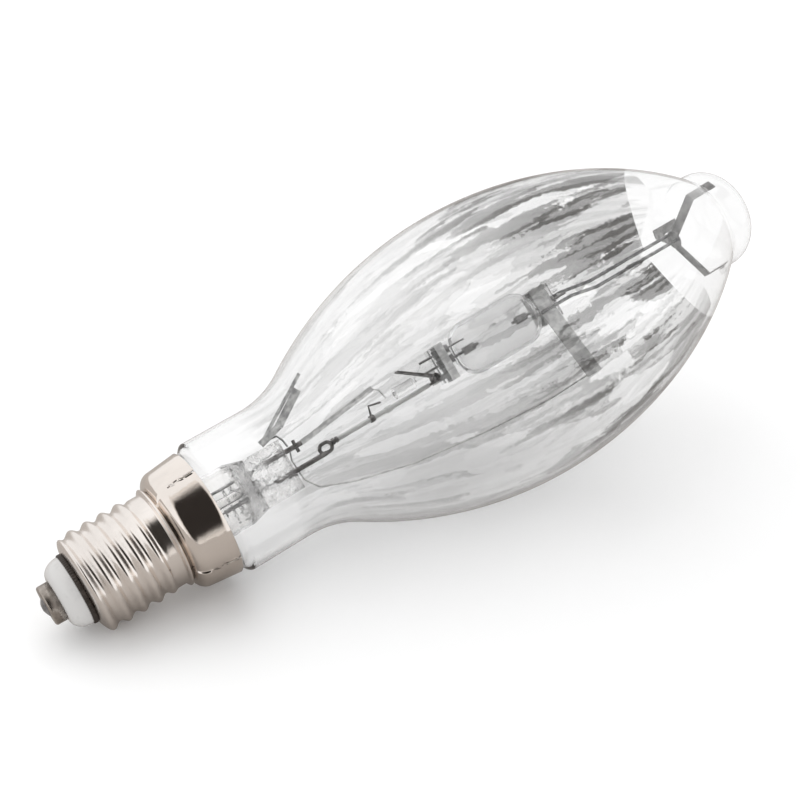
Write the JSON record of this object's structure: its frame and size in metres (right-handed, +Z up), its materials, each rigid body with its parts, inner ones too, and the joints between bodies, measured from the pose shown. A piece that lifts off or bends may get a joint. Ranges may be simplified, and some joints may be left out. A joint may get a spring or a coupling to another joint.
{
  "type": "metal halide lamp",
  "caption": "Clear elliptical metal halide lamp with a large screw cap, lying on its side, its arc tube, frame and starter seen through the glass.",
  "frame": {"origin": "middle of the lamp's box, on the surface it lies on", "axes": "+X from the cap towards the nose, +Z up; the lamp's own axis lies in the XZ plane, about 13 degrees nose up"},
  "size_m": [0.3334, 0.12, 0.1262],
  "materials": {
    "contact_nickel": "nickel plated, satin, thin bright rim",
    "solder": "dull grey solder",
    "white_ceramic": "white glaze",
    "dark_ring": "dark, finely ribbed",
    "nickel_plate": "warm nickel plate, polished",
    "cement": "basing cement, matte",
    "bulb_glass": "clear, slightly wavy",
    "stem_glass": "clear stem glass",
    "nickel_wire": "drawn nickel wire",
    "dark_wire": "dark oxidised wire",
    "sleeve": "pale sintered sleeve",
    "nickel_strip": "rolled nickel strip",
    "quartz": "fused quartz",
    "molybdenum": "thin molybdenum",
    "tungsten": "grey tungsten",
    "spring_steel": "rolled spring strip",
    "bimetal": "dark bimetal strip",
    "resistor": "glass bodied resistor",
    "getter": "coated getter strip"
  },
  "bodies": {
    "root": {"centre_contact": "contact_nickel", "contact_solder": "solder", "insulator": "white_ceramic", "insulator_ring": "dark_ring", "screw_shell": "nickel_plate", "skirt_collar": "nickel_plate", "cap_cement": "cement", "outer_bulb": "bulb_glass", "stem_glass": "stem_glass", "exhaust_tube": "stem_glass", "lead_to_contact": "nickel_wire", "lead_to_shell": "nickel_wire", "feed_post": "dark_wire", "return_post": "dark_wire", "sleeve_crimp": "dark_wire", "rod_sleeve_lower": "sleeve", "sleeve_bead": "sleeve", "rod_sleeve_upper": "sleeve", "feed_link": "nickel_strip", "return_wire": "nickel_wire", "arc_tube": "quartz", "foils": "molybdenum", "arc_leads": "molybdenum", "electrode_base": "tungsten", "electrode_far": "tungsten", "starting_electrode": "tungsten", "clamp_base": "nickel_strip", "clamp_far": "nickel_strip", "cross_strap": "nickel_strip", "frame_rods": "nickel_wire", "far_link": "nickel_wire", "end_spring": "spring_steel", "bimetal_switch": "bimetal", "starting_resistor": "resistor", "resistor_bracket": "dark_wire", "start_strip": "nickel_strip", "getter_strip": "getter", "getter_support": "nickel_wire"}
  },
  "joints": []
}
